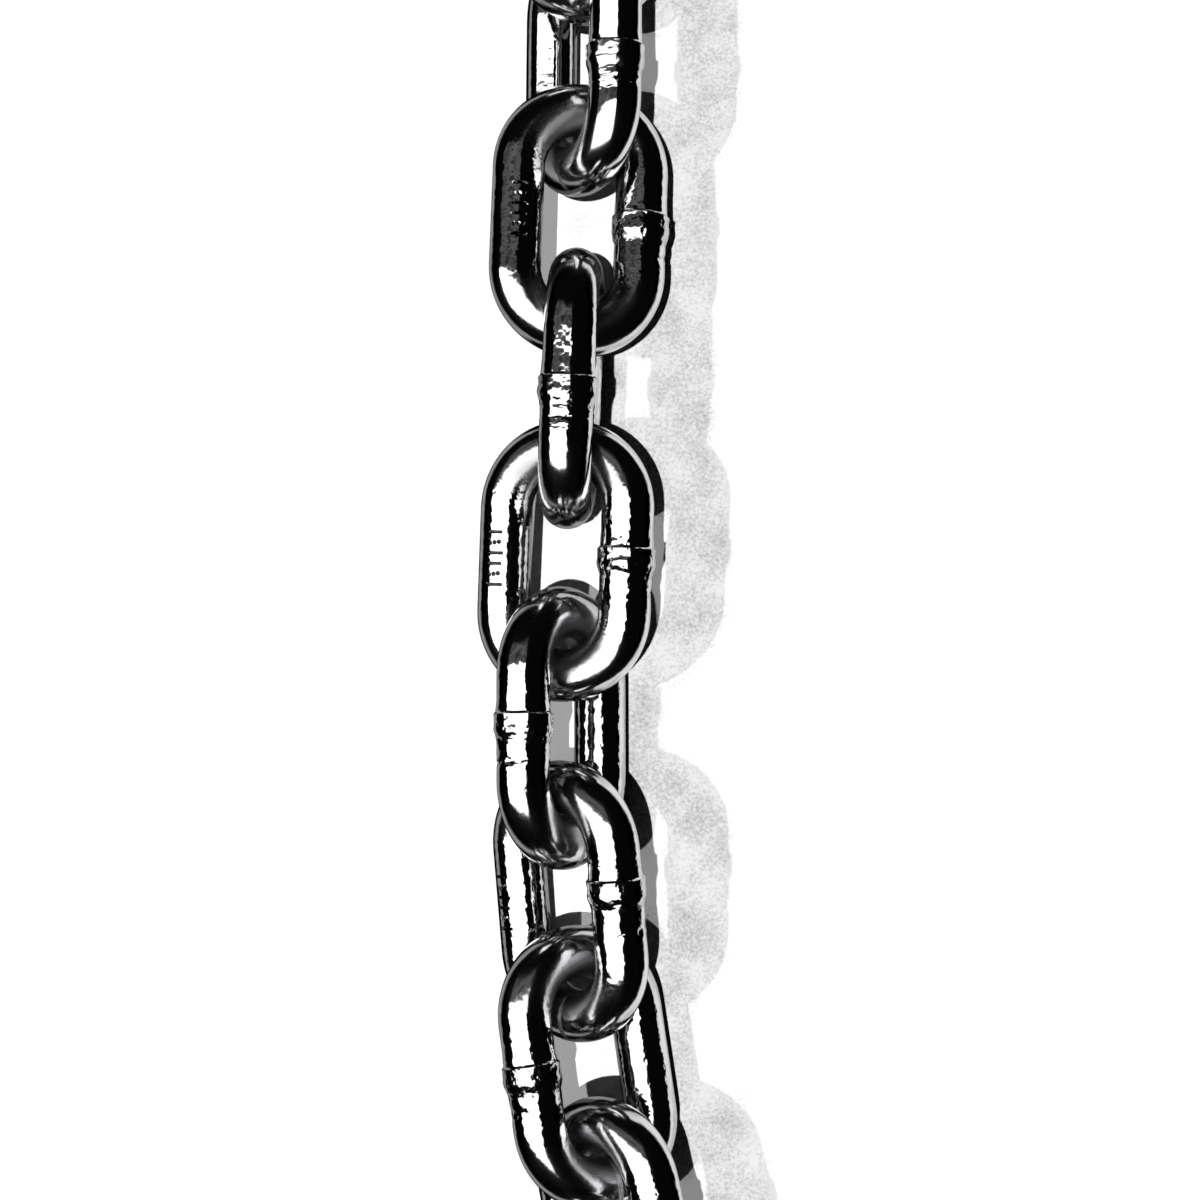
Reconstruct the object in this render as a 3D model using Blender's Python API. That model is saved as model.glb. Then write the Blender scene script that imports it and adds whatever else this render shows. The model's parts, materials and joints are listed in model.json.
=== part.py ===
"""A one metre length of short-link anchor chain, laid out on a level floor.

The chain runs along Y, its first link at the +Y end. Every link is a closed round steel bar, welded
in the middle of one of its two long sides. The links cross each other at their crowns, and each one
rests on the floor by its lower side or is held up by its neighbours.
"""

import math

import bmesh
import bpy
import numpy as np
from mathutils import Matrix, Vector

# Driving dimensions of one link, in metres
WIRE = 0.008
INSIDE_LENGTH = 0.0273
OUTSIDE_WIDTH = 0.0276
WELD_LENGTH = 0.0052
WELD_STAND_OUT = 0.0004
WELD_SHOULDER = 0.0005

# Driving values of the laid chain
LINK_COUNT = 38
CROWN_CLEARANCE = 0.0004
FLANK_CLEARANCE = 0.0012
RESTING_ROLL = 45.0

# Each link is rolled about the chain, and these say where its welded side points: 0 is +X, 90 is up.
# They stand for the nine links in the middle, from link 15 on. All others lie at the resting roll.
FIRST_TURNED = 15
TURNED_ROLLS = (147.0, 53.0, -18.0, 87.0, 11.0, 120.0, 36.0, 144.0, 40.0)

# The laid chain bows twice near its middle: (angle in degrees, link where it peaks, links it spans)
BOWS = ((13.8, 23.9, 2.8), (-3.0, 18.6, 2.0))

# How finely a link is faceted
WIRE_SIDES = 8
CROWN_STEPS = 7

BEND = (OUTSIDE_WIDTH - WIRE) / 2
AXIS_LENGTH = INSIDE_LENGTH + WIRE
HALF_BAR = AXIS_LENGTH / 2 - BEND
SIDE_ANGLE = 2 * math.pi / WIRE_SIDES
# The faceted bar has the cross section area of the round one
CORNER_RADIUS = WIRE / 2 * math.sqrt(SIDE_ANGLE / math.sin(SIDE_ANGLE))
FLAT_RADIUS = CORNER_RADIUS * math.cos(SIDE_ANGLE / 2)
# A flat lies across the middle of each crown, so the crown is drawn out to the link's full length
CROWN_STRETCH = (BEND + WIRE / 2) / ((BEND + FLAT_RADIUS) * math.cos(math.pi / CROWN_STEPS / 2))


def clear_scene():
    for old in list(bpy.data.objects):
        bpy.data.objects.remove(old, do_unlink=True)


def bright_steel(name):
    material = bpy.data.materials.new(name)
    material.use_nodes = True
    shader = material.node_tree.nodes["Principled BSDF"]
    shader.inputs["Base Color"].default_value = (0.62, 0.62, 0.63, 1.0)
    shader.inputs["Metallic"].default_value = 1.0
    shader.inputs["Roughness"].default_value = 0.16
    return material


def edges_of(geometry):
    return [item for item in geometry if isinstance(item, bmesh.types.BMEdge)]


def verts_of(geometry):
    return [item for item in geometry if isinstance(item, bmesh.types.BMVert)]


def extrude_bar(bm, edges, side, stations):
    """Carries the open end through (place along the bar, radius over the plain one)."""
    for place, swell in stations:
        made = bmesh.ops.extrude_edge_only(bm, edges=edges)["geom"]
        verts = verts_of(made)
        now = sum((v.co for v in verts), Vector()) / len(verts)
        bmesh.ops.translate(bm, verts=verts, vec=(0.0, place - now.y, 0.0))
        centre = Matrix.Translation((-side * BEND, -place, 0.0))
        size = max(math.hypot(v.co.x - side * BEND, v.co.z) for v in verts)
        factor = CORNER_RADIUS * swell / size
        bmesh.ops.scale(bm, verts=verts, vec=(factor, 1.0, factor), space=centre)
        edges = edges_of(made)
    return edges


def spin_crown(bm, edges, end):
    """Turns the open end half round the crown at the link's end, 1 or -1 along Y."""
    turned = bmesh.ops.spin(
        bm,
        geom=edges,
        cent=(0.0, end * HALF_BAR, 0.0),
        axis=(0.0, 0.0, 1.0),
        dvec=(0.0, 0.0, 0.0),
        angle=math.pi,
        steps=CROWN_STEPS,
    )
    last = edges_of(turned["geom_last"])
    crown = [v for v in bm.verts if v.co.y * end > HALF_BAR + WIRE / 1000]
    centre = Matrix.Translation((0.0, -end * HALF_BAR, 0.0))
    bmesh.ops.scale(bm, verts=crown, vec=(1.0, CROWN_STRETCH, 1.0), space=centre)
    return last


def link_mesh():
    """One link in its own XY plane, long way along Y, with the weld on its +X side."""
    bm = bmesh.new()
    facing = Matrix.Rotation(math.pi / 2, 4, "X") @ Matrix.Rotation(SIDE_ANGLE / 2, 4, "Z")
    start = Matrix.Translation((BEND, -HALF_BAR, 0.0)) @ facing
    ring = bmesh.ops.create_circle(bm, segments=WIRE_SIDES, radius=CORNER_RADIUS, matrix=start)
    edges = list({edge for vert in ring["verts"] for edge in vert.link_edges})
    collar = 1 + WELD_STAND_OUT / (WIRE / 2)
    foot = WELD_LENGTH / 2
    top = foot - WELD_SHOULDER
    weld = ((-foot, 1.0), (-top, collar), (top, collar), (foot, 1.0), (HALF_BAR, 1.0))
    edges = extrude_bar(bm, edges, 1, weld)
    edges = spin_crown(bm, edges, 1)
    edges = extrude_bar(bm, edges, -1, ((-HALF_BAR, 1.0),))
    spin_crown(bm, edges, -1)
    bmesh.ops.remove_doubles(bm, verts=bm.verts, dist=WIRE / 1000)
    bmesh.ops.recalc_face_normals(bm, faces=bm.faces)
    mesh = bpy.data.meshes.new("chain_link")
    bm.to_mesh(mesh)
    bm.free()
    mesh.shade_smooth()
    return mesh


def crown_distance(turn, bend):
    """How far apart two crowns keep along the chain, for links rolled apart by turn.

    Away from a square crossing the crowns meet on their flanks, and so they do where the chain
    bends sideways, which leans one crown over towards the other.
    """
    arc = np.linspace(-math.pi / 2, math.pi / 2, 91)
    across_a = BEND * np.sin(arc)[:, None]
    across_b = BEND * np.sin(arc)[None, :]
    drop = 2 * BEND - BEND * np.cos(arc)[:, None] - BEND * np.cos(arc)[None, :]
    flat = across_a**2 + across_b**2 - 2 * across_a * across_b * math.cos(turn)
    flank = FLANK_CLEARANCE * abs(math.cos(turn)) + BEND * abs(math.sin(bend)) / 2
    need = WIRE + CROWN_CLEARANCE + flank
    distance = need
    while np.min(flat + (distance - drop) ** 2) < need**2:
        distance += WIRE / 1000
    return distance


def roll_of(number):
    """The welded side's direction in radians, from +X towards up."""
    place = number - FIRST_TURNED
    if 0 <= place < len(TURNED_ROLLS):
        return math.radians(TURNED_ROLLS[place])
    leans_right = number % 2 == (0 if place < 0 else 1)
    return math.radians(RESTING_ROLL if leans_right else 180 - RESTING_ROLL)


def heading_of(number):
    """How far the link turns from -Y towards +X, in radians."""
    angle = sum(size * math.exp(-(((number - peak) / span) ** 2)) for size, peak, span in BOWS)
    return math.radians(angle)


def height_needed(roll):
    """How high a link's axis lies when its lower side just touches the floor."""
    past_flat = (abs(roll) + math.pi / 2) % SIDE_ANGLE
    below = CORNER_RADIUS * math.cos(SIDE_ANGLE / 2 - past_flat)
    return BEND * abs(math.sin(roll)) + below


def link_places():
    """Each link's centre and the direction of its far end, link 1 first."""
    numbers = range(1, LINK_COUNT + 1)
    rolls = [roll_of(number) for number in numbers]
    headings = [heading_of(number) for number in numbers]
    heights = [height_needed(roll) for roll in rolls]
    turns = [b - a for a, b in zip(rolls, rolls[1:])]
    bends = [b - a for a, b in zip(headings, headings[1:])]
    joins = [crown_distance(turn, bend) for turn, bend in zip(turns, bends)]
    levels = [max(a, b) for a, b in zip(heights, heights[1:])]
    near_half = 0.0
    crossing = Vector((0.0, 0.0, levels[0]))
    places = []
    for index, roll in enumerate(rolls):
        last = index == LINK_COUNT - 1
        far_half = 0.0 if last else joins[index] / 2
        reach = AXIS_LENGTH - near_half - far_half
        rise = 0.0 if last else levels[index] - crossing.z
        heading = headings[index]
        pitch = math.asin(rise / reach)
        level = math.cos(pitch)
        along = Vector((math.sin(heading) * level, -math.cos(heading) * level, math.sin(pitch)))
        centre = crossing + along * (AXIS_LENGTH / 2 - near_half)
        places.append((centre, heading, pitch, roll))
        crossing = crossing + along * reach
        near_half = far_half
    return places


def lay_links():
    mesh = link_mesh()
    links = []
    for index, (centre, heading, pitch, roll) in enumerate(link_places()):
        name = f"link_{index + 1:02d}"
        link = bpy.data.objects.new(name, mesh.copy())
        link.data.name = name
        link.data.materials.append(bright_steel(f"bright_steel_{index + 1:02d}"))
        aim = Matrix.Rotation(heading, 4, "Z") @ Matrix.Rotation(-pitch, 4, "X")
        link.matrix_world = Matrix.Translation(centre) @ aim @ Matrix.Rotation(-roll, 4, "Y")
        bpy.context.collection.objects.link(link)
        links.append(link)
    bpy.data.meshes.remove(mesh)
    return links


def centre_on_origin(links):
    """Moves the chain sideways until the origin is under the middle of its box."""
    corners = np.array([link.matrix_world @ v.co for link in links for v in link.data.vertices])
    middle = (corners.min(axis=0) + corners.max(axis=0)) / 2
    for link in links:
        link.location.x -= middle[0]
        link.location.y -= middle[1]


def main():
    clear_scene()
    links = lay_links()
    centre_on_origin(links)


main()
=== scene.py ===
"""Dresses the laid length of short-link chain: round welded links, their polish, and the studio.

One link is modelled in its own XY plane, with its weld on the +X side, and a second one like it also
has struck marks on its -X side. A copy of one of the two is laid where each solid link of the frame
lies.
"""

import json
import math

import bpy
import numpy as np
from mathutils import Matrix, Vector
from mathutils.kdtree import KDTree

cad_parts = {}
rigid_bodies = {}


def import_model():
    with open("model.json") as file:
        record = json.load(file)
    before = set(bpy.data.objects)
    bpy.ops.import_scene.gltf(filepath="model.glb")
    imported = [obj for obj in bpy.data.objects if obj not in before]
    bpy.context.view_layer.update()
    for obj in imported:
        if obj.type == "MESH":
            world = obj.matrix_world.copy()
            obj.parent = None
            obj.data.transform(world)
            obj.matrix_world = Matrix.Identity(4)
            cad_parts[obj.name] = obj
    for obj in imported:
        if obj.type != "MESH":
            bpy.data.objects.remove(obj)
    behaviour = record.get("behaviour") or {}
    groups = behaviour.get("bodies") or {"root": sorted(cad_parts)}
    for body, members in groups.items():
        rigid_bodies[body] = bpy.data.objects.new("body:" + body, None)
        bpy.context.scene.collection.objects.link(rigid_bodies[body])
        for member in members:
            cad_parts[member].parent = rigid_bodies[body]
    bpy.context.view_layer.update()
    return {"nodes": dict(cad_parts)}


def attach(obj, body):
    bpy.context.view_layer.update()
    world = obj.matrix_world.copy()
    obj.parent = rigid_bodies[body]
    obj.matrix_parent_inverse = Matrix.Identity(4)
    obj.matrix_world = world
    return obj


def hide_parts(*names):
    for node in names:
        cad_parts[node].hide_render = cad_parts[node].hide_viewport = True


bl_info = {
    "name": "Short-link chain",
    "version": (1, 0, 0),
    "blender": (4, 5, 0),
    "location": "3D View > Sidebar > Chain",
    "description": "Models the welded links of a laid chain and the studio around it",
    "category": "Object",
}

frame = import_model()
LINK_NAMES = sorted(frame["nodes"])

MM = 0.001

# How finely a link is faceted: round the bar, over a crown, and along its plain and welded stretches
WIRE_SIDES = 48
CROWN_STEPS = 40
PLAIN_STEPS = 6
WELD_STEPS = 84

# A solid link's corners further than this from its middle belong to its crowns
CROWN_START = 4.5 * MM
# The round link is this much shorter than the solid one, so that crossing crowns all but touch
CROWN_TRIM = 0.2 * MM
# The weld's collar is faceted finely, and so is the bar this far past it on each side
WELD_SURROUNDS = 3.6 * MM
# The collar's own steel lies this far towards -Y of the collar's middle
WELD_SKIN_BACK = 0.2 * MM
# Weights of the surface below this one are left out
LEAST_WEIGHT = 0.001
# Faces that meet at more than this stay sharp
SHARP_ANGLE = math.radians(35)

# The struck marks, in order towards +Y, how far apart they are, and how far off the bar's middle
MARK_ROW = ("bar", "dots", "bar", "bar", "dots", "bar")
MARK_PITCH = 1.6 * MM
MARK_OFFSET = -0.4 * MM
# The struck bars: half the length of each in turn and its shift across the link, half their breadth,
# and how deep their middles lie
BAR_HALF_LENGTHS = (1.30 * MM, 1.05 * MM, 1.22 * MM)
BAR_SHIFTS = (0.12 * MM, -0.16 * MM, 0.0)
BAR_HALF_BREADTH = 0.28 * MM
BAR_SINK = 0.17 * MM
# The struck dots: where each of three lies across the link, how much the three slant along it, half
# their width, and how deep their middles lie
DOT_SHIFTS = (-0.7 * MM, 0.0, 0.7 * MM)
DOT_SLANT = 0.15
DOT_HALF = 0.36 * MM
DOT_SINK = 0.02 * MM

# One link in each cycle has no struck marks: the one in this place, counted from 0
MARK_CYCLE = 6
PLAIN_PLACE = 3
# How far the weld of a link lies off its middle, towards +Y. The other welds lie in the middle
WELD_SLIDES = {"link_16": -0.0025, "link_17": -0.0008, "link_18": -0.0019, "link_21": 0.0018}
# How much of the usual ripple a link has that came out of the tumbling smoother
SMOOTHER = {"link_16": 0.35}
# How far the finish moves on from one link to the next, so that no two links look alike
FINISH_STEP = (0.37, 0.05, 0.0)

# How far a ripple of height 1 stands out
POLISH_RELIEF = 0.045 * MM

# The floor lies just under the links. Near the chain it is a fine grid, with these sides and step
FLOOR_DROP = 0.1 * MM
FLOOR_SIZE = 12.0
NEAR_FLOOR = (0.20, 1.24)
NEAR_STEP = 0.002
# How many points stand for the two crowns of a link's middle line, and for each straight bar of it
CROWN_POINTS = 48
BAR_POINTS = 12

# The directions towards the two suns, and how wide each one looks from the floor, in degrees
HIGH_TOWARDS = (-0.02, -0.15, 0.99)
LOW_TOWARDS = (-0.54, -0.13, 0.84)
SUN_WIDTH = 0.7
# The overhead lights have the same corners. Each one has a name, a height, the place along Y that its
# slopes are taken from, and the two slopes between which it is dark
LIGHT_LOW = (-0.85, -0.36)
LIGHT_HIGH = (0.10, 0.70)
OVERHEAD_LIGHTS = (
    ("softbox", 0.42, 0.043, (0.168, 9.0)),
    ("end_softbox", 0.416, 0.0856, (0.0, 0.262)),
)
# How high the overhead lights stand over the upper bars of the chain
LIGHT_RISE = 0.396
# Where the middle of the chain lies across the floor, and how softly the overhead lights turn dark
CHAIN_X = -0.011
DARK_EDGE = 0.008
# The one link that the last of the overhead lights is for
END_LIT = "round_link_16"

# Where the camera stands, and the place on the floor that it looks at
CAMERA_STAND = (0.033285, -0.020088, 0.399370)
CAMERA_TARGET = (-0.009261, 0.005463, 0.0)


def unique_points(node):
    """The corners of a solid link, each once."""
    points = np.array([v.co for v in frame["nodes"][node].data.vertices])
    return np.unique(np.round(points, 7), axis=0)


def lie_of(node):
    """Where a solid link lies: its centre, its three axes as columns, and its length and width.

    The axes are across towards the weld, along towards +Y, and square to both. Only the crowns are
    weighed, because the two sides differ by the weld. They are found again from each better centre.
    """
    points = unique_points(node)
    centre = points.mean(axis=0)
    crowns = points
    for _ in range(3):
        axes = np.linalg.eigh(np.cov((crowns - centre).T))[1]
        along = axes[:, 2] * np.sign(axes[1, 2])
        crowns = points[np.abs((points - centre) @ along) > CROWN_START]
        centre = crowns.mean(axis=0)
    across = axes[:, 1]
    local = (points - centre) @ np.column_stack([across, along])
    middle = local[np.abs(local[:, 1]) < CROWN_START, 0]
    if -middle.min() > middle.max():
        across = -across
    up = np.cross(across, along)
    length = np.ptp(local[:, 1])
    width = np.ptp((crowns - centre) @ across)
    return Vector(centre), Matrix(np.column_stack([across, along, up])), length, width


LIES = {node: lie_of(node) for node in LINK_NAMES}
LENGTH_NOW, WIDTH_NOW = LIES[LINK_NAMES[0]][2:]


class ChainLinkSizes(bpy.types.PropertyGroup):
    wire: bpy.props.FloatProperty(
        name="Wire",
        description="Thickness of the round bar that each link is bent from",
        default=0.008,
        min=0.002,
        unit="LENGTH",
    )
    length: bpy.props.FloatProperty(
        name="Outside length",
        description="Length of a link over both crowns",
        default=LENGTH_NOW - CROWN_TRIM,
        unit="LENGTH",
    )
    width: bpy.props.FloatProperty(
        name="Outside width",
        description="Width of a link over both sides",
        default=WIDTH_NOW,
        unit="LENGTH",
    )
    weld_length: bpy.props.FloatProperty(
        name="Weld length",
        description="Length of the collar that the butt weld leaves round the bar",
        default=0.0047,
        unit="LENGTH",
    )
    weld_rise: bpy.props.FloatProperty(
        name="Weld rise",
        description="How far the weld's collar stands out from the bar",
        default=0.00048,
        unit="LENGTH",
    )
    mark_depth: bpy.props.FloatProperty(
        name="Mark depth",
        description="How deep the plain marks are struck into the side across from the weld",
        default=0.00028,
        unit="LENGTH",
    )


class ChainSteelFinish(bpy.types.PropertyGroup):
    steel: bpy.props.FloatVectorProperty(
        name="Steel",
        description="Colour of the polished steel",
        subtype="COLOR",
        size=3,
        default=(0.74, 0.74, 0.75),
    )
    weld: bpy.props.FloatVectorProperty(
        name="Weld",
        description="Colour of the steel on the weld's collar",
        subtype="COLOR",
        size=3,
        default=(0.62, 0.62, 0.63),
    )
    # The marks' colour is painted dark, as shade in their hollows
    marks: bpy.props.FloatVectorProperty(
        name="Marks",
        description="Colour of the steel in the struck marks",
        subtype="COLOR",
        size=3,
        default=(0.07, 0.07, 0.07),
    )
    roughness: bpy.props.FloatProperty(
        name="Roughness",
        description="Roughness of the polished bar between its scratches",
        default=0.05,
        min=0.0,
        max=1.0,
        subtype="FACTOR",
    )


class ChainStudio(bpy.types.PropertyGroup):
    patch_light: bpy.props.FloatProperty(
        name="Overhead light",
        description="Radiance of the soft light over the chain",
        default=2.0,
        min=0.0,
    )
    dim_light: bpy.props.FloatProperty(
        name="Far light",
        description="Share of the overhead light that its far, clouded part still gives",
        default=0.03,
        min=0.0,
        max=1.0,
        subtype="FACTOR",
    )
    # The three rims set how bright the floor is painted for the steel to mirror: a painted reflection
    rim_left: bpy.props.FloatProperty(
        name="Left rim",
        description="How much of the floor the left flanks of the steel mirror",
        default=0.32,
        min=0.0,
    )
    rim_right: bpy.props.FloatProperty(
        name="Right rim",
        description="How much of the floor the right flanks of the steel mirror",
        default=0.9,
        min=0.0,
    )
    rim_inner: bpy.props.FloatProperty(
        name="Inner rim",
        description="How much of the floor inside the links the steel mirrors",
        default=0.35,
        min=0.0,
    )
    high_light: bpy.props.FloatProperty(
        name="High light",
        description="Strength of the light nearly overhead that throws the narrow dark shadows",
        default=2.6,
        min=0.0,
    )
    low_light: bpy.props.FloatProperty(
        name="Low light",
        description="Strength of the light from the left that throws the wide pale shadows",
        default=0.9,
        min=0.0,
    )
    lens: bpy.props.FloatProperty(
        name="Lens",
        description="Focal length of the camera over a 36 mm wide frame, in millimetres",
        default=76.74,
        min=10.0,
    )


def deselect_all():
    if bpy.context.mode != "OBJECT":
        bpy.ops.object.mode_set(mode="OBJECT")
    bpy.ops.object.select_all(action="DESELECT")


def select_only(obj):
    deselect_all()
    obj.select_set(True)
    bpy.context.view_layer.objects.active = obj


def share(low, high, value):
    """How far a value has come from low to high, from 0 to 1."""
    return np.clip((value - low) / (high - low), 0.0, 1.0)


def bell(value):
    """One at zero, and smoothly down to nothing on both sides of it."""
    return math.exp(-(value**2))


def link_axis(sizes):
    """How far the bar's middle line lies off the link's middle, and half its straight length."""
    bend = (sizes.width - sizes.wire) / 2
    return bend, sizes.length / 2 - sizes.wire / 2 - bend


def steps_between(start, end, count):
    """Evenly spaced places past the start, up to the end."""
    return [start + (end - start) * (k + 1) / count for k in range(count)]


def weld_swell(place, sizes):
    """Radius of the welded bar over the plain one, at a place along it.

    The collar ends in a sharp step with a low shoulder beyond it towards +Y, and in a long slope
    towards -Y. Between them it sags a little.
    """
    half = sizes.weld_length / 2
    step = 0.42 * MM
    shoulder = 0.26
    shoulder_reach = 1.2 * MM
    slope = 2.1 * MM
    sag = 0.12
    if place >= half:
        rise = shoulder * bell((place - half) / shoulder_reach)
    elif place > half - step:
        part = (half - place) / step
        rise = shoulder + (1 - shoulder) * part * part * (3 - 2 * part)
    elif place > slope - half:
        rise = 1.0 - sag * math.sin(math.pi * (half - place) / (2 * half - slope))
    elif place > -half:
        part = (place + half) / slope
        rise = part * part * (3 - 2 * part)
    else:
        rise = 0.0
    return 1.0 + rise * sizes.weld_rise / (sizes.wire / 2)


def carry_ring(place, here, centre_x, swell):
    """Extrudes the open end along the bar and sets its radius. Gives the new place and swell."""
    step = (0.0, place - here[0], 0.0)
    bpy.ops.mesh.extrude_region_move(TRANSFORM_OT_translate={"value": step})
    ratio = swell / here[1]
    if abs(ratio - 1.0) > 1e-6:
        bpy.ops.transform.resize(value=(ratio, 1.0, ratio), center_override=(centre_x, place, 0.0))
    return place, swell


def model_link(sizes):
    """Extrudes and spins one closed link from a round bar, and gives its object."""
    deselect_all()
    bend, half_bar = link_axis(sizes)
    bpy.ops.mesh.primitive_circle_add(
        vertices=WIRE_SIDES,
        radius=sizes.wire / 2,
        location=(bend, -half_bar, 0.0),
        rotation=(math.pi / 2, 0.0, 0.0),
    )
    link = bpy.context.object
    link.name = "link_pattern"
    bpy.ops.object.transform_apply(location=True, rotation=True, scale=True)
    bpy.ops.object.mode_set(mode="EDIT")
    bpy.ops.mesh.select_all(action="SELECT")
    foot = sizes.weld_length / 2 + WELD_SURROUNDS
    places = steps_between(-half_bar, -foot, PLAIN_STEPS) + steps_between(-foot, foot, WELD_STEPS)
    here = (-half_bar, 1.0)
    for place in places + steps_between(foot, half_bar, PLAIN_STEPS):
        here = carry_ring(place, here, bend, weld_swell(place, sizes))
    turn = {"steps": CROWN_STEPS, "angle": -math.pi, "axis": (0.0, 0.0, 1.0)}
    bpy.ops.mesh.spin(center=(0.0, half_bar, 0.0), **turn)
    here = (half_bar, 1.0)
    for place in steps_between(half_bar, -half_bar, 4 * PLAIN_STEPS):
        here = carry_ring(place, here, -bend, 1.0)
    bpy.ops.mesh.spin(center=(0.0, -half_bar, 0.0), **turn)
    bpy.ops.mesh.select_all(action="SELECT")
    bpy.ops.mesh.remove_doubles(threshold=sizes.wire / 2000)
    bpy.ops.mesh.normals_make_consistent(inside=False)
    bpy.ops.object.mode_set(mode="OBJECT")
    return link


def add_weld_group(link, name, weight):
    """Vertices of the welded side, with weights from a function of each vertex's place."""
    group = link.vertex_groups.new(name=name)
    for v in link.data.vertices:
        w = weight(v.co) if v.co.x >= 0 else 0.0
        if w > LEAST_WEIGHT:
            group.add([v.index], w, "REPLACE")


def clouds(name, size, depth):
    texture = bpy.data.textures.new(name, "CLOUDS")
    texture.noise_scale = size
    texture.noise_depth = depth
    return texture


def displace(link, name, group, strength, middle=0.0, texture=None, direction="NORMAL"):
    """Pushes a group of the surface out along its normals, or along one axis, and applies it."""
    select_only(link)
    bpy.ops.object.modifier_add(type="DISPLACE")
    mod = link.modifiers[-1]
    mod.name = name
    mod.texture = texture
    mod.texture_coords = "LOCAL"
    mod.direction = direction
    mod.vertex_group = group
    mod.strength = strength
    mod.mid_level = middle
    bpy.ops.object.modifier_apply(modifier=name)


def roughen_weld(link, sizes):
    """Gives the weld its uneven skin and small burrs, and the bar the clamp's mark beyond it.

    It also readies the welded bar for the slide of its weld, which draws the plain bar on each side
    of the weld with it.
    """
    bend, half_bar = link_axis(sizes)
    half = sizes.weld_length / 2
    skin_fade = 2.2 * MM
    burr_back, burr_reach = half - 0.5 * MM, 0.55 * MM
    clamp_back, clamp_reach = half + 2.6 * MM, 0.9 * MM
    clamp_turn = math.radians(5)
    slide_fade = half_bar - half - 0.3 * MM

    def on_weld(co):
        return max(0.0, 1.0 - max(0.0, abs(co.y) - half) / skin_fade)

    def on_burr(co):
        return bell((co.y + burr_back) / burr_reach)

    def on_clamp(co):
        facing = math.cos(math.atan2(co.z, co.x - bend) - clamp_turn)
        return max(0.1, facing) * bell((co.y + clamp_back) / clamp_reach)

    def on_slide(co):
        return min(1.0, max(0.0, half_bar - abs(co.y)) / slide_fade)

    add_weld_group(link, "weld", on_weld)
    add_weld_group(link, "burr", on_burr)
    add_weld_group(link, "clamp", on_clamp)
    add_weld_group(link, "slide", on_slide)
    displace(link, "weld_skin", "weld", 0.22 * MM, 0.5, clouds("weld_skin", 1.3 * MM, 1))
    displace(link, "weld_burr", "burr", 0.34 * MM, 0.5, clouds("weld_burr", 0.55 * MM, 2))
    displace(link, "clamp_mark", "clamp", 0.80 * MM, 0.75, clouds("clamp_mark", 1.0 * MM, 1))


def add_stroke(half_size, place):
    """A short rounded bar that cuts one struck stroke."""
    bpy.ops.mesh.primitive_cube_add(size=2.0, location=place)
    bar = bpy.context.object
    bar.scale = half_size
    bpy.ops.object.transform_apply(location=False, rotation=False, scale=True)
    bpy.ops.object.mode_set(mode="EDIT")
    bpy.ops.mesh.bevel(offset=0.25 * MM, segments=3, affect="EDGES")
    bpy.ops.object.mode_set(mode="OBJECT")
    return bar


def add_dot(half_size, place):
    """A small flattened ball that cuts one struck dot."""
    bpy.ops.mesh.primitive_uv_sphere_add(segments=14, ring_count=8, radius=1.0, location=place)
    dot = bpy.context.object
    dot.scale = half_size
    bpy.ops.object.transform_apply(location=False, rotation=False, scale=True)
    return dot


def mark_cutters(sizes):
    """The bars and dots that cut the plain row of struck marks."""
    bend, _ = link_axis(sizes)
    surface = sizes.wire / 2
    depth = sizes.mark_depth
    middle = -bend + MARK_OFFSET
    start = -(len(MARK_ROW) - 1) * MARK_PITCH / 2
    cutters = []
    for index, kind in enumerate(MARK_ROW):
        y = start + index * MARK_PITCH
        if kind == "bar":
            half_size = (BAR_HALF_LENGTHS[index % 3], BAR_HALF_BREADTH, depth)
            place = (middle + BAR_SHIFTS[index % 3], y, surface - BAR_SINK)
            cutters.append(add_stroke(half_size, place))
            continue
        for shift in DOT_SHIFTS:
            x = middle + shift
            sink = DOT_SINK + (x + bend) ** 2 / (2 * surface)
            place = (x, y + DOT_SLANT * shift, surface - sink)
            cutters.append(add_dot((DOT_HALF, DOT_HALF, depth), place))
    return cutters


def strike_marks(link, sizes):
    """Strikes a plain row of short bars and dots across the side that has no weld."""
    deselect_all()
    cutters = mark_cutters(sizes)
    for cutter in cutters:
        cutter.select_set(True)
    bpy.context.view_layer.objects.active = cutters[0]
    bpy.ops.object.join()
    marks = bpy.context.object
    select_only(link)
    bpy.ops.object.modifier_add(type="BOOLEAN")
    mod = link.modifiers[-1]
    mod.name = "struck_marks"
    mod.operation = "DIFFERENCE"
    mod.solver = "EXACT"
    mod.use_self = True
    mod.object = marks
    bpy.ops.object.modifier_apply(modifier="struck_marks")
    bpy.data.objects.remove(marks, do_unlink=True)


def bar_coordinates(points, sizes):
    """For each point, its way along the bar and its place in the bar's cross section."""
    bend, half_bar = link_axis(sizes)
    x, y, z = points.T
    past = np.clip(np.abs(y) - half_bar, 0, None) * np.sign(y)
    angle = np.arctan2(np.abs(past), np.abs(x)) * np.sign(y)
    from_weld = np.clip(y, -half_bar, half_bar) + angle * bend
    half_way_round = 2 * half_bar + math.pi * bend
    way = np.where(x > 0, from_weld, half_way_round - from_weld)
    out = np.hypot(x, past) - bend
    return np.column_stack([way, out, z])


def store_vectors(mesh, name, values):
    attribute = mesh.attributes.new(name, "FLOAT_VECTOR", "POINT")
    attribute.data.foreach_set("vector", values.astype(np.float32).ravel())


def store_values(mesh, name, values):
    attribute = mesh.attributes.new(name, "FLOAT", "POINT")
    attribute.data.foreach_set("value", values.astype(np.float32))


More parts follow.
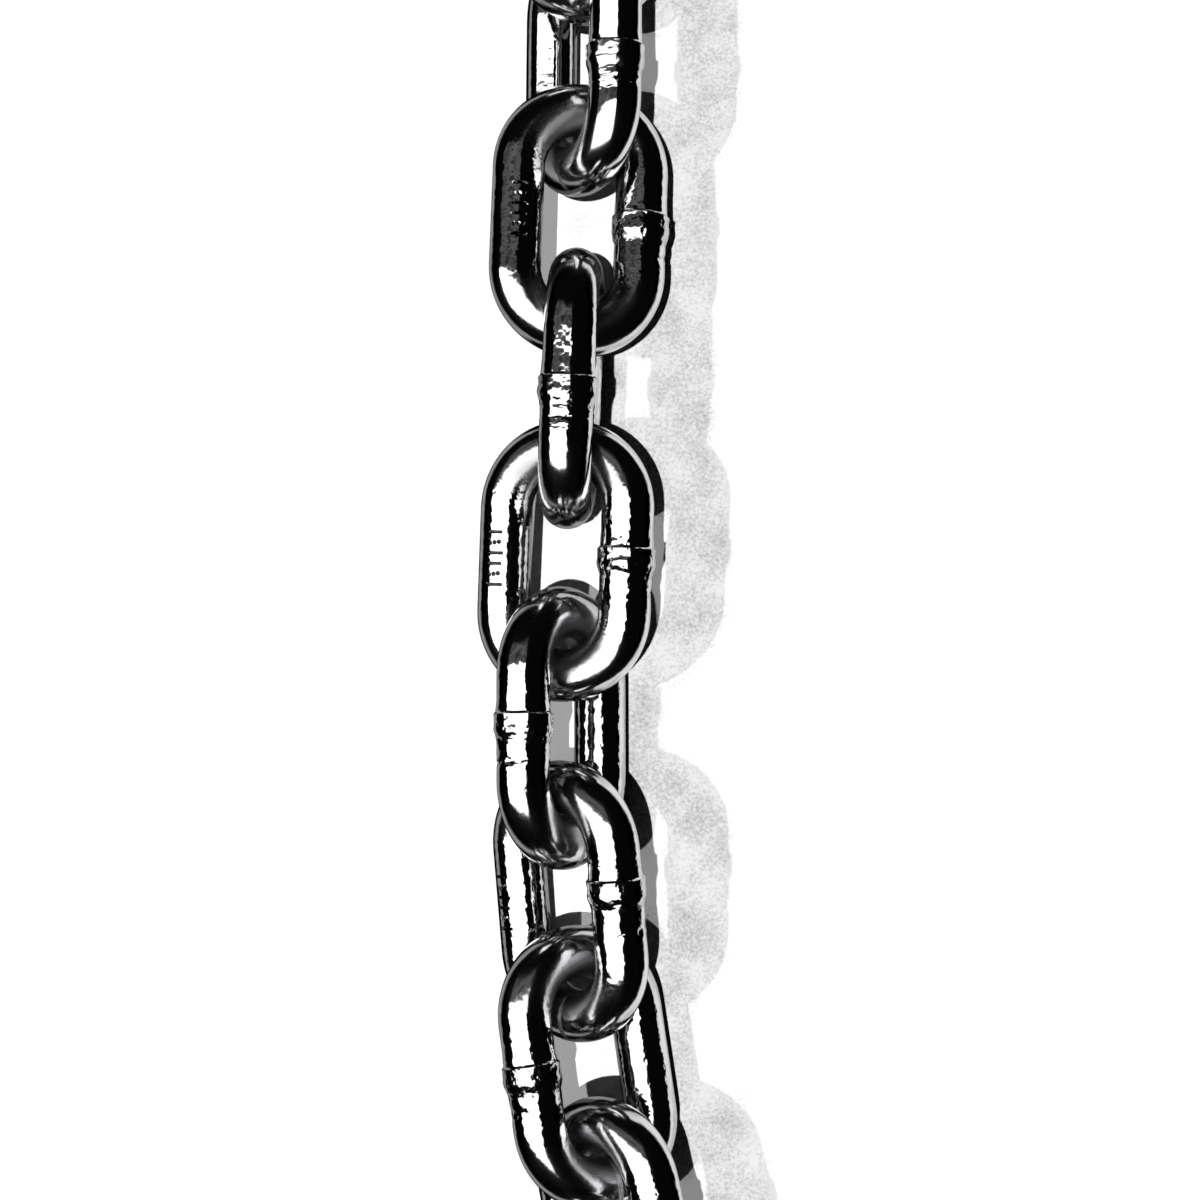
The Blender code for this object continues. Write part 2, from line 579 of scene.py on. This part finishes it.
def store_places(link, sizes):
    """Keeps what the finish follows: the way along the bar, the crowns' rub and painted shade, their
    haze, the ripple.
    """
    points = np.array([v.co for v in link.data.vertices])
    bar = bar_coordinates(points, sizes)
    # The inner sides of the crowns, where the links meet: dulled by rubbing, and darkened there with
    # painted shade
    inside = share(0.25, -0.35, bar[:, 1] / (sizes.wire / 2))
    at_crown = share(9 * MM, 13 * MM, np.abs(points[:, 1]))
    store_vectors(link.data, "bar_place", bar)
    store_values(link.data, "crown_rub_and_shade", inside * at_crown)
    store_values(link.data, "crown_haze", at_crown)
    store_values(link.data, "rippled", 1.0 - 0.65 * at_crown)


def new_group(name, inputs, outputs):
    """A node group with sockets given as (name, type, default)."""
    group = bpy.data.node_groups.new(name, "ShaderNodeTree")
    for label, kind, default in inputs:
        socket = group.interface.new_socket(name=label, in_out="INPUT", socket_type=kind)
        if default is not None:
            socket.default_value = default
    for label, kind in outputs:
        group.interface.new_socket(name=label, in_out="OUTPUT", socket_type=kind)
    return group


class Nodes:
    """Adds nodes to a tree and links them by socket name."""

    def __init__(self, tree):
        self.tree = tree

    def add(self, kind, values=None, **settings):
        node = self.tree.nodes.new(kind)
        for key, value in settings.items():
            setattr(node, key, value)
        for key, value in (values or {}).items():
            if isinstance(value, bpy.types.NodeSocket):
                self.tree.links.new(value, node.inputs[key])
            else:
                node.inputs[key].default_value = value
        return node

    def attribute(self, name, output="Fac"):
        return self.add("ShaderNodeAttribute", attribute_name=name).outputs[output]

    def math(self, operation, a, b=0.0, c=0.0):
        node = self.add("ShaderNodeMath", {0: a, 1: b, 2: c}, operation=operation)
        return node.outputs[0]

    def noise(self, vector, scale, detail=2.0, rough=0.5, distortion=0.0):
        values = {"Vector": vector, "Scale": scale, "Detail": detail, "Roughness": rough}
        return self.add("ShaderNodeTexNoise", values | {"Distortion": distortion}).outputs["Fac"]

    def ramp(self, value, low, high, out_low=0.0, out_high=1.0):
        values = {"Value": value, "From Min": low, "From Max": high}
        node = self.add("ShaderNodeMapRange", values | {"To Min": out_low, "To Max": out_high})
        return node.outputs["Result"]

    def stretch(self, vector, scale):
        return self.add("ShaderNodeMapping", {"Vector": vector, "Scale": scale}).outputs["Vector"]


def polish_group():
    """Ripples and fine scratches left by tumbling and polishing a steel bar."""
    group = new_group(
        "polished_bar",
        [
            ("Place", "NodeSocketVector", None),
            ("Ripple", "NodeSocketFloat", 1.0),
            ("Scratches", "NodeSocketFloat", 1.0),
        ],
        [("Height", "NodeSocketFloat"), ("Scratch", "NodeSocketFloat"), ("Smudge", "NodeSocketFloat")],
    )
    n = Nodes(group)
    given = n.add("NodeGroupInput").outputs
    place = given["Place"]
    broad = n.noise(place, 260.0, 2.0, 0.5)
    fine = n.noise(place, 900.0, 1.0, 0.5)
    along = n.noise(n.stretch(place, (90.0, 3800.0, 3800.0)), 1.0, 2.0, 0.6)
    around = n.noise(n.stretch(place, (4200.0, 160.0, 160.0)), 1.0, 2.0, 0.6, 0.4)
    cut_along = n.ramp(along, 0.58, 0.72)
    cut_around = n.ramp(around, 0.66, 0.80, 0.0, 0.5)
    where = n.ramp(broad, 0.50, 0.66)
    scratch = n.math("MAXIMUM", cut_along, n.math("MULTIPLY", cut_around, where))
    scratch = n.math("MULTIPLY", scratch, given["Scratches"])
    ripple = n.math("MULTIPLY_ADD", broad, 2.2, n.math("MULTIPLY", fine, 1.8))
    ripple = n.math("MULTIPLY", ripple, given["Ripple"])
    height = n.math("MULTIPLY_ADD", scratch, -0.004, ripple)
    smudge = n.ramp(n.noise(place, 150.0, 4.0, 0.6, 0.6), 0.45, 0.75)
    n.add("NodeGroupOutput", {"Height": height, "Scratch": scratch, "Smudge": smudge})
    return group


def steel_material(name, polish, colour, roughness, ripple, scratches=1.0):
    """Bare bright steel with its ripples, scratches and smudges, dull where it is rubbed, and darkened
    inside the crowns with painted shade.
    """
    material = bpy.data.materials.new(name)
    material.use_nodes = True
    n = Nodes(material.node_tree)
    shader = material.node_tree.nodes["Principled BSDF"]
    ripple = n.math("MULTIPLY", n.attribute("rippled"), ripple)
    given = {"Place": n.attribute("bar_place", "Vector"), "Ripple": ripple, "Scratches": scratches}
    made = n.add("ShaderNodeGroup", given, node_tree=polish).outputs
    rub_and_shade = n.attribute("crown_rub_and_shade")
    # Painted shade darkens the inner sides of the crowns, and the smudges darken the steel at random
    smudge_and_shade = n.math("MULTIPLY_ADD", rub_and_shade, 0.7, n.math("MULTIPLY", made["Smudge"], 0.25))
    clean = (*colour, 1.0)
    smudged_and_shaded = (*(c * 0.5 for c in colour), 1.0)
    mix = n.add("ShaderNodeMix", {"Factor": smudge_and_shade, "A": clean, "B": smudged_and_shaded}, data_type="RGBA")
    rough = n.math("MULTIPLY_ADD", made["Scratch"], 0.06, roughness)
    rough = n.math("MULTIPLY_ADD", made["Smudge"], 0.05, rough)
    rough = n.math("MULTIPLY_ADD", rub_and_shade, 0.16, rough)
    rough = n.math("MULTIPLY_ADD", n.attribute("crown_haze"), 0.07, rough)
    relief = {"Height": made["Height"], "Strength": 1.0, "Distance": POLISH_RELIEF}
    bump = n.add("ShaderNodeBump", relief)
    shader.inputs["Metallic"].default_value = 1.0
    n.tree.links.new(mix.outputs["Result"], shader.inputs["Base Color"])
    n.tree.links.new(rough, shader.inputs["Roughness"])
    n.tree.links.new(bump.outputs["Normal"], shader.inputs["Normal"])
    return material


def steel_materials(finish):
    """The steel of the bar, of the weld's collar and of the struck marks, these last painted dark as
    shade in their hollows.
    """
    polish = polish_group()
    rough = finish.roughness
    return (
        steel_material("bright_steel", polish, finish.steel, rough, ripple=1.0),
        steel_material("weld_steel", polish, finish.weld, rough + 0.05, ripple=2.4),
        # The struck marks' steel is painted dark, as shade in their hollows
        steel_material("struck_shaded_steel", polish, finish.marks, rough + 0.06, ripple=1.6, scratches=0.5),
    )


def finish_faces(link, sizes, materials):
    """Gives the weld's collar and the struck marks their own steel, the marks' steel painted dark as
    shade.
    """
    for material in materials:
        link.data.materials.append(material)
    bend, _ = link_axis(sizes)
    half = sizes.weld_length / 2
    struck_radius = sizes.wire / 2 - 0.03 * MM
    row_end = 5.4 * MM
    for face in link.data.polygons:
        c = face.center
        if c.x > 0 and abs(c.y + WELD_SKIN_BACK) < half:
            face.material_index = 1
        elif c.x < 0 and abs(c.y) < row_end and c.z > 0:
            if math.hypot(c.x + bend, c.z) < struck_radius:
                face.material_index = 2


def copy_of(pattern, name):
    """A copy of a link with its own mesh."""
    link = pattern.copy()
    link.data = pattern.data.copy()
    link.name = name
    link.data.name = name
    bpy.context.scene.collection.objects.link(link)
    return link


def vary_finish(mesh, node, index):
    """Moves the finish on along the bar, and takes ripple off a link that is smoother."""
    count = len(mesh.vertices)
    place = mesh.attributes["bar_place"].data
    values = np.empty(count * 3, np.float32)
    place.foreach_get("vector", values)
    shift = (np.array(FINISH_STEP) * index).astype(np.float32)
    place.foreach_set("vector", values + np.tile(shift, count))
    rippled = mesh.attributes["rippled"].data
    shares = np.empty(count, np.float32)
    rippled.foreach_get("value", shares)
    rippled.foreach_set("value", shares * SMOOTHER.get(node, 1.0))


def lay_copy(pattern, node, index):
    """A copy of the link with its own mesh, turned and set where the solid link lies."""
    centre, axes, _, _ = LIES[node]
    link = copy_of(pattern, f"round_{node}")
    if node in WELD_SLIDES:
        displace(link, "weld_slide", "slide", WELD_SLIDES[node], direction="Y")
    link.data.transform(Matrix.Translation(centre) @ axes.to_4x4())
    vary_finish(link.data, node, index)
    link.data.update()
    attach(link, "root")
    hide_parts(node)


class CHAIN_OT_lay_links(bpy.types.Operator):
    """Models a welded link, plain and with struck marks, and lays a copy over every solid link"""

    bl_idname = "chain.lay_links"
    bl_label = "Lay the links"

    def execute(self, context):
        sizes = context.scene.chain_sizes
        plain = model_link(sizes)
        roughen_weld(plain, sizes)
        marked = copy_of(plain, "marked_pattern")
        strike_marks(marked, sizes)
        materials = steel_materials(context.scene.chain_finish)
        for pattern in (plain, marked):
            finish_faces(pattern, sizes, materials)
            store_places(pattern, sizes)
            select_only(pattern)
            bpy.ops.object.shade_smooth_by_angle(angle=SHARP_ANGLE)
        for index, node in enumerate(LINK_NAMES):
            lay_copy(plain if index % MARK_CYCLE == PLAIN_PLACE else marked, node, index)
        for pattern in (plain, marked):
            bpy.data.objects.remove(pattern, do_unlink=True)
        return {"FINISHED"}


def middle_lines(sizes):
    """Points along the middle of every link's bar, and the number of the link each belongs to."""
    bend, half_bar = link_axis(sizes)
    turn = np.linspace(0, 2 * math.pi, CROWN_POINTS, endpoint=False)
    crowns = np.column_stack([bend * np.cos(turn), bend * np.sin(turn)])
    crowns[:, 1] += half_bar * np.sign(crowns[:, 1])
    level = np.linspace(-half_bar, half_bar, BAR_POINTS)
    bars = [np.column_stack([np.full(BAR_POINTS, side * bend), level]) for side in (-1, 1)]
    flat = np.vstack([crowns, *bars])
    points = []
    for node in LINK_NAMES:
        centre, axes, _, _ = LIES[node]
        points.append(np.array(centre) + flat @ np.array(axes)[:, :2].T)
    return np.vstack(points), np.repeat(np.arange(len(LINK_NAMES)), len(flat))


def nearest_of(points, places):
    """For each place on the floor, how far the nearest point is and its number."""
    tree = KDTree(len(points))
    for index, (x, y) in enumerate(points):
        tree.insert((x, y, 0.0), index)
    tree.balance()
    found = [tree.find((x, y, 0.0)) for x, y in places]
    return np.array([hit[2] for hit in found]), np.array([hit[1] for hit in found])


def floor_values(places, sizes, studio):
    """How bright each place on the floor is painted for the steel to mirror, and whether it is in a
    link or shaded.
    """
    bend, _ = link_axis(sizes)
    radius = sizes.wire / 2
    lines, owner = middle_lines(sizes)
    reach, number = nearest_of(lines[:, :2], places)
    gap = reach - radius
    nearest = owner[number]
    cast = lines[:, :2] - lines[:, 2:] * np.array(LOW_TOWARDS[:2]) / LOW_TOWARDS[2]
    from_cast = nearest_of(cast, places)[0] - radius
    inside = np.zeros(len(places))
    side = np.zeros(len(places))
    for index, node in enumerate(LINK_NAMES):
        centre, axes, length, _ = LIES[node]
        along = np.array(axes.col[1])[:2]
        along /= np.linalg.norm(along)
        right = np.array([along[1], -along[0]])
        from_centre = places - np.array(centre)[:2]
        u, v = from_centre @ right, from_centre @ along
        half_width = bend * abs(np.array(axes.col[0])[:2] @ right)
        here = share(half_width + 0.5 * MM, half_width - 0.5 * MM, np.abs(u))
        here *= share(length / 2 - 2 * MM, length / 2 - 5 * MM, np.abs(v))
        inside = np.maximum(inside, here)
        side = np.where(nearest == index, u, side)
    # Painted reflection: to the steel the floor is dark right beside the bars, pale a little further
    # out, and set apart inside the links
    left = studio.rim_left * share(8 * MM, 13 * MM, gap) * share(42 * MM, 24 * MM, gap)
    right = studio.rim_right * share(0.0, 2.0 * MM, gap) * share(32 * MM, 22 * MM, gap)
    outer = np.where(side < 0, left, right)
    # The low light's shadow, less inside the links: the floor's grain is painted darker only here
    shaded = share(1.3 * MM, 0.8 * MM, from_cast) * (1.0 - 0.6 * inside)
    return outer + (studio.rim_inner - outer) * inside, inside, shaded


def add_near_floor(sizes, studio):
    """The stretch of floor round the chain, fine enough to keep what lies beside the links."""
    wide, long = NEAR_FLOOR
    bpy.ops.mesh.primitive_grid_add(
        x_subdivisions=round(wide / NEAR_STEP),
        y_subdivisions=round(long / NEAR_STEP),
        size=1.0,
        location=(0.0, 0.0, -FLOOR_DROP),
    )
    floor = bpy.context.object
    floor.name = "near_floor"
    floor.scale = (wide, long, 1.0)
    bpy.ops.object.transform_apply(location=True, rotation=False, scale=True)
    places = np.array([v.co[:2] for v in floor.data.vertices])
    names = ("floor_painted_reflection", "floor_inside", "floor_shaded")
    for name, values in zip(names, floor_values(places, sizes, studio)):
        store_values(floor.data, name, values)
    return floor


def floor_material():
    """A plain pale floor with a fine grain painted only into the low light's shadow, painted brighter
    inside the links, and mirrored by the steel as a painted reflection only where it is near.

    Light that the floor scatters never comes back to it, so that its deep shade stays dark.
    """
    material = bpy.data.materials.new("pale_floor")
    material.use_nodes = True
    tree = material.node_tree
    for old in list(tree.nodes):
        tree.nodes.remove(old)
    n = Nodes(tree)
    place = n.add("ShaderNodeTexCoord").outputs["Object"]
    path = n.add("ShaderNodeLightPath").outputs
    grain = n.noise(place, 1900.0, 3.0, 0.7)
    blotch = n.noise(place, 110.0, 3.0, 0.6)
    # Painted shadow mottling: the grain darkens the floor only where the low light's shadow is marked
    tone = n.ramp(n.math("MULTIPLY_ADD", blotch, 0.8, grain), 0.6, 1.04, 0.45, -0.10)
    tone = n.math("SUBTRACT", 0.98, n.math("MULTIPLY", tone, n.attribute("floor_shaded")))
    once = n.ramp(path["Ray Depth"], 1.2, 1.8, 1.0, 0.2)
    once = n.math("MULTIPLY", once, n.ramp(path["Diffuse Depth"], 0.0, 1.0, 1.0, 0.0))
    # Painted reflection: what the steel mirrors of the floor takes its brightness from the stored map,
    # not from how the floor is lit
    mirrored = n.math("MULTIPLY", n.attribute("floor_painted_reflection"), once)
    # Painted light: to the camera the floor inside the links is a third brighter, over the shadows
    # that fall there
    painted_light_within = n.math("MULTIPLY_ADD", n.attribute("floor_inside"), 0.34, 1.0)
    seen = n.math("MULTIPLY", path["Is Camera Ray"], painted_light_within)
    shown = n.math("MAXIMUM", mirrored, seen)
    pale = n.add("ShaderNodeBsdfDiffuse", {"Color": n.math("MULTIPLY", tone, shown)})
    n.add("ShaderNodeOutputMaterial", {"Surface": pale.outputs[0]})
    return material


def make_world():
    """Pale to the camera and nearly dark in the steel, as a studio with black walls is."""
    world = bpy.data.worlds.new("studio")
    world.use_nodes = True
    bpy.context.scene.world = world
    n = Nodes(world.node_tree)
    back = world.node_tree.nodes["Background"]
    path = n.add("ShaderNodeLightPath").outputs
    tone = n.ramp(path["Is Camera Ray"], 0.0, 1.0, 0.002, 0.97)
    tone = n.math("MAXIMUM", tone, n.math("MULTIPLY", path["Is Diffuse Ray"], 0.004))
    n.tree.links.new(tone, back.inputs["Strength"])
    back.inputs["Color"].default_value = (1.0, 1.0, 1.0, 1.0)


def collection_of(name, objects):
    made = bpy.data.collections.new(name)
    for obj in objects:
        made.objects.link(obj)
    return made


def hang_light(name, data, receivers):
    """Puts a light in the scene that lights only the objects it is meant for."""
    light = bpy.data.objects.new(name, data)
    bpy.context.scene.collection.objects.link(light)
    light.light_linking.receiver_collection = receivers
    return light


def area_light(name, height, radiance, receivers):
    """A level rectangular light over the floor, which the camera doesn't see."""
    low, high = LIGHT_LOW, LIGHT_HIGH
    size_x, size_y = high[0] - low[0], high[1] - low[1]
    data = bpy.data.lights.new(name, "AREA")
    data.shape = "RECTANGLE"
    data.size = size_x
    data.size_y = size_y
    data.energy = radiance * math.pi * size_x * size_y
    light = hang_light(name, data, receivers)
    light.location = ((low[0] + high[0]) / 2, (low[1] + high[1]) / 2, height)
    light.visible_camera = False
    return light


def shape_light(light, over, dark, dim):
    """Darkens a light between two slopes, as met from the chain below, to a dim and clouded glow.

    A slope is how far along Y a place lies from the given one, over how far it is from the chain
    across and up. A straight bar mirrors one slope right across, so it turns dark all at once.
    """
    data = light.data
    data.use_nodes = True
    n = Nodes(data.node_tree)
    place = n.add("ShaderNodeNewGeometry").outputs["Position"]
    split = n.add("ShaderNodeSeparateXYZ", {"Vector": place}).outputs
    across = n.math("SUBTRACT", split["X"], CHAIN_X)
    away = n.math("SQRT", n.math("MULTIPLY_ADD", across, across, LIGHT_RISE**2))
    slope = n.math("DIVIDE", n.math("SUBTRACT", split["Y"], over), away)
    near = n.ramp(slope, dark[0] + DARK_EDGE, dark[0] - DARK_EDGE)
    far = n.ramp(slope, dark[1] - DARK_EDGE, dark[1] + DARK_EDGE)
    cloud = n.noise(n.stretch(place, (5.0, 24.0, 1.0)), 1.0, 2.0, 0.5)
    cloud = n.ramp(cloud, 0.36, 0.66, 0.4 * dim, 2.2 * dim)
    beyond = n.math("MULTIPLY", cloud, n.ramp(slope, 0.80, 0.62))
    strength = n.math("MAXIMUM", n.math("MAXIMUM", near, far), beyond)
    n.tree.links.new(strength, data.node_tree.nodes["Emission"].inputs["Strength"])


def sun_light(name, towards, strength, receivers):
    data = bpy.data.lights.new(name, "SUN")
    data.energy = strength
    data.angle = math.radians(SUN_WIDTH)
    light = hang_light(name, data, receivers)
    light.rotation_euler = Vector(towards).to_track_quat("Z", "Y").to_euler()


def make_camera(lens):
    data = bpy.data.cameras.new("camera")
    data.sensor_width = 36.0
    data.lens = lens
    data.clip_start = 0.01
    data.clip_end = 100.0
    data.dof.use_dof = False
    camera = bpy.data.objects.new("camera", data)
    stand = Vector(CAMERA_STAND)
    back = (stand - Vector(CAMERA_TARGET)).normalized()
    right = Vector((0.0, 1.0, 0.0)).cross(back).normalized()
    turn = Matrix([right, back.cross(right), back]).transposed()
    camera.matrix_world = Matrix.Translation(stand) @ turn.to_4x4()
    bpy.context.scene.collection.objects.link(camera)
    bpy.context.scene.camera = camera


class CHAIN_OT_set_studio(bpy.types.Operator):
    """Makes the pale floor, the soft lights, the dark surroundings and the camera"""

    bl_idname = "chain.set_studio"
    bl_label = "Set the studio"

    def execute(self, context):
        studio = context.scene.chain_studio
        deselect_all()
        below = -1.5 * FLOOR_DROP
        bpy.ops.mesh.primitive_plane_add(size=FLOOR_SIZE, location=(0.0, 0.0, below))
        floor = bpy.context.object
        floor.name = "floor"
        bpy.ops.object.transform_apply(location=True, rotation=False, scale=False)
        near_floor = add_near_floor(context.scene.chain_sizes, studio)
        pale = floor_material()
        for part in (floor, near_floor):
            part.data.materials.append(pale)
        links = [o for o in context.scene.objects if o.name.startswith("round_link")]
        on_chain = collection_of("lit_chain", [o for o in links if o.name != END_LIT])
        on_end = collection_of("lit_end", [o for o in links if o.name == END_LIT])
        on_floor = collection_of("lit_floor", [floor, near_floor])
        for (name, height, over, dark), lit in zip(OVERHEAD_LIGHTS, (on_chain, on_end)):
            light = area_light(name, height, studio.patch_light, lit)
            shape_light(light, over, dark, studio.dim_light)
        sun_light("high_light", HIGH_TOWARDS, studio.high_light, on_floor)
        sun_light("low_light", LOW_TOWARDS, studio.low_light, on_floor)
        make_world()
        make_camera(studio.lens)
        context.scene.view_settings.view_transform = "Standard"
        return {"FINISHED"}


class CHAIN_PT_sidebar(bpy.types.Panel):
    bl_idname = "CHAIN_PT_sidebar"
    bl_label = "Short-link chain"
    bl_space_type = "VIEW_3D"
    bl_region_type = "UI"
    bl_category = "Chain"

    def draw(self, context):
        scene = context.scene
        for group in (scene.chain_sizes, scene.chain_finish, scene.chain_studio):
            for name in group.bl_rna.properties.keys():
                if name not in ("rna_type", "name"):
                    self.layout.prop(group, name)
        self.layout.operator(CHAIN_OT_lay_links.bl_idname)
        self.layout.operator(CHAIN_OT_set_studio.bl_idname)


CLASSES = (
    ChainLinkSizes,
    ChainSteelFinish,
    ChainStudio,
    CHAIN_OT_lay_links,
    CHAIN_OT_set_studio,
    CHAIN_PT_sidebar,
)


def register():
    for cls in CLASSES:
        bpy.utils.register_class(cls)
    bpy.types.Scene.chain_sizes = bpy.props.PointerProperty(type=ChainLinkSizes)
    bpy.types.Scene.chain_finish = bpy.props.PointerProperty(type=ChainSteelFinish)
    bpy.types.Scene.chain_studio = bpy.props.PointerProperty(type=ChainStudio)


def unregister():
    del bpy.types.Scene.chain_studio
    del bpy.types.Scene.chain_finish
    del bpy.types.Scene.chain_sizes
    for cls in reversed(CLASSES):
        bpy.utils.unregister_class(cls)


def main():
    register()
    bpy.ops.chain.lay_links()
    bpy.ops.chain.set_studio()


if __name__ == "__main__":
    main()
